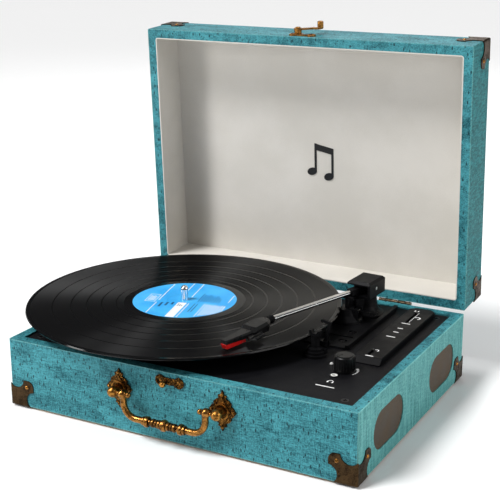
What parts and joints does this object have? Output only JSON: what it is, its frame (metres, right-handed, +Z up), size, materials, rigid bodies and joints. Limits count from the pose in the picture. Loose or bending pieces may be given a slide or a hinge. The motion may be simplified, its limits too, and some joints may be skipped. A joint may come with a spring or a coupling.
{
  "type": "turntable record player",
  "caption": "Portable suitcase record player with hinged lid, belt-driven platter, lifting tonearm, switches, side speakers, front handle and latch.",
  "frame": {"origin": "on the surface the feet stand on, under the centre of the base case", "axes": "+X to the right seen from the front, +Y to the back towards the hinges, +Z up"},
  "size_m": [0.3899, 0.3311, 0.3384],
  "materials": {
    "case_wood": "raw",
    "teal_cover": "matt, mottled",
    "black_board": "painted",
    "steel": "plated",
    "dark_steel": "black",
    "rubber": "matt",
    "antique_brass": "antique",
    "black_deck": "satin",
    "bush_brass": "machined",
    "black_plastic": "fine texture",
    "white_plastic": "gloss",
    "led_lens": "clear lens",
    "grille_mesh": "brown mesh",
    "cone_paper": "paper",
    "circuit_board": "board",
    "socket_metal": "nickel",
    "mat_felt": "felt",
    "chrome": "polished",
    "vinyl": "grooved gloss",
    "label_paper": "printed paper",
    "red_plastic": "gloss",
    "cream_lining": "woven"
  },
  "bodies": {
    "base": {"base_carcass": "case_wood", "base_wrap": "teal_cover", "bottom_panel": "black_board", "case_screws": "steel", "rubber_feet": "rubber", "base_corner_guards": "antique_brass", "base_trim_nails": "antique_brass", "deck_plate": "black_deck", "deck_screws": "dark_steel", "drive_motor": "steel", "drive_belt": "rubber", "bearing_bushes": "bush_brass", "tonearm_plate": "black_plastic", "tonearm_pedestal": "black_plastic", "tonearm_housing": "black_plastic", "arm_rest": "black_plastic", "control_panel": "black_plastic", "control_switches": "black_plastic", "headphone_jack": "white_plastic", "power_led": "led_lens", "speaker_grilles": "grille_mesh", "speaker_frames": "dark_steel", "speaker_cones": "cone_paper", "main_board": "circuit_board", "socket_plate": "black_plastic", "audio_sockets": "socket_metal", "dc_inlet": "black_plastic", "handle_plates": "antique_brass", "latch_keeper": "antique_brass", "hinge_base_leaves": "antique_brass"},
    "platter": {"platter": "black_plastic", "slip_mat": "mat_felt", "spindle": "chrome", "vinyl_record": "vinyl", "record_label": "label_paper"},
    "pulley": {"motor_pulley": "bush_brass"},
    "cue_lever": {"cue_lever": "black_plastic"},
    "lift_platform": {"lift_platform": "black_plastic"},
    "yoke": {"tonearm_yoke": "dark_steel"},
    "arm": {"arm_tube": "chrome", "arm_knuckle": "black_plastic", "counterweight": "dark_steel", "head_collar": "black_plastic", "headshell": "black_plastic", "cartridge": "black_plastic", "stylus": "red_plastic"},
    "rest_clip": {"rest_clip": "black_plastic"},
    "volume_knob": {"volume_knob": "black_plastic"},
    "speed_slider": {"speed_slider": "black_plastic"},
    "autostop_slider": {"autostop_slider": "black_plastic"},
    "handle": {"handle_bail": "antique_brass"},
    "lid": {"lid_carcass": "case_wood", "lid_wrap": "teal_cover", "lid_lining": "cream_lining", "lid_corner_guards": "antique_brass", "lid_trim_nails": "antique_brass", "lid_badge": "black_plastic", "latch_plate": "antique_brass", "hinge_lid_leaves": "antique_brass"},
    "latch": {"latch_hook": "antique_brass"}
  },
  "joints": [
    {"name": "lid_hinge", "type": "hinge", "parent": "base", "child": "lid", "pos_m": [0, 0.1305, 0.0665], "axis": [1, 0, 0], "range_deg": [-15, 2]},
    {"name": "latch_swing", "type": "hinge", "parent": "lid", "child": "latch", "pos_m": [-0.0059, 0.12707, 0.33115], "axis": [0, 0.0488, -0.9988], "range_deg": [-40, 129]},
    {"name": "handle_swing", "type": "hinge", "parent": "base", "child": "handle", "pos_m": [0, -0.139, 0.0428], "axis": [-1, 0, 0], "range_deg": [-12, 150]},
    {"name": "platter_spin", "type": "hinge", "parent": "base", "child": "platter", "pos_m": [-0.0623, -0.0015, 0.07], "axis": [0, 0, 1], "continuous": true},
    {"name": "pulley_spin", "type": "hinge", "parent": "base", "child": "pulley", "pos_m": [-0.1217, -0.0609, 0.07], "axis": [0, 0, 1], "continuous": true},
    {"name": "tonearm_swing", "type": "hinge", "parent": "base", "child": "yoke", "pos_m": [0.0895, 0.0848, 0.08], "axis": [0, 0, 1], "range_deg": [-26.5, 18.9]},
    {"name": "tonearm_lift", "type": "hinge", "parent": "yoke", "child": "arm", "pos_m": [0.0895, 0.0848, 0.0937], "axis": [-0.9498, 0.313, 0], "range_deg": [-0.1, 8]},
    {"name": "cue_lever_turn", "type": "hinge", "parent": "base", "child": "cue_lever", "pos_m": [0.09155, 0.05916, 0.078], "axis": [0, 1, 0], "range_deg": [0, 18.2]},
    {"name": "lift_platform_rise", "type": "slide", "parent": "base", "child": "lift_platform", "axis": [0, 0, 1], "range_m": [-0.002, 0]},
    {"name": "rest_clip_turn", "type": "hinge", "parent": "base", "child": "rest_clip", "pos_m": [0.0976, -0.025, 0.075], "axis": [0, 1, 0], "range_deg": [-20, 0]},
    {"name": "volume_knob_turn", "type": "hinge", "parent": "base", "child": "volume_knob", "pos_m": [0.1283, -0.0515, 0.072], "axis": [0, 0, 1], "range_deg": [-150, 120]},
    {"name": "speed_slider_move", "type": "slide", "parent": "base", "child": "speed_slider", "axis": [0, 1, 0], "range_m": [-0.023, 0]},
    {"name": "autostop_slider_move", "type": "slide", "parent": "base", "child": "autostop_slider", "axis": [0, 1, 0], "range_m": [-0.007, 0]}
  ],
  "couplings": [
    {"joint": "pulley_spin", "follows": "platter_spin", "ratio": 24},
    {"joint": "cue_lever_turn", "follows": "lift_platform_rise", "rad_per_m": -157.08}
  ]
}
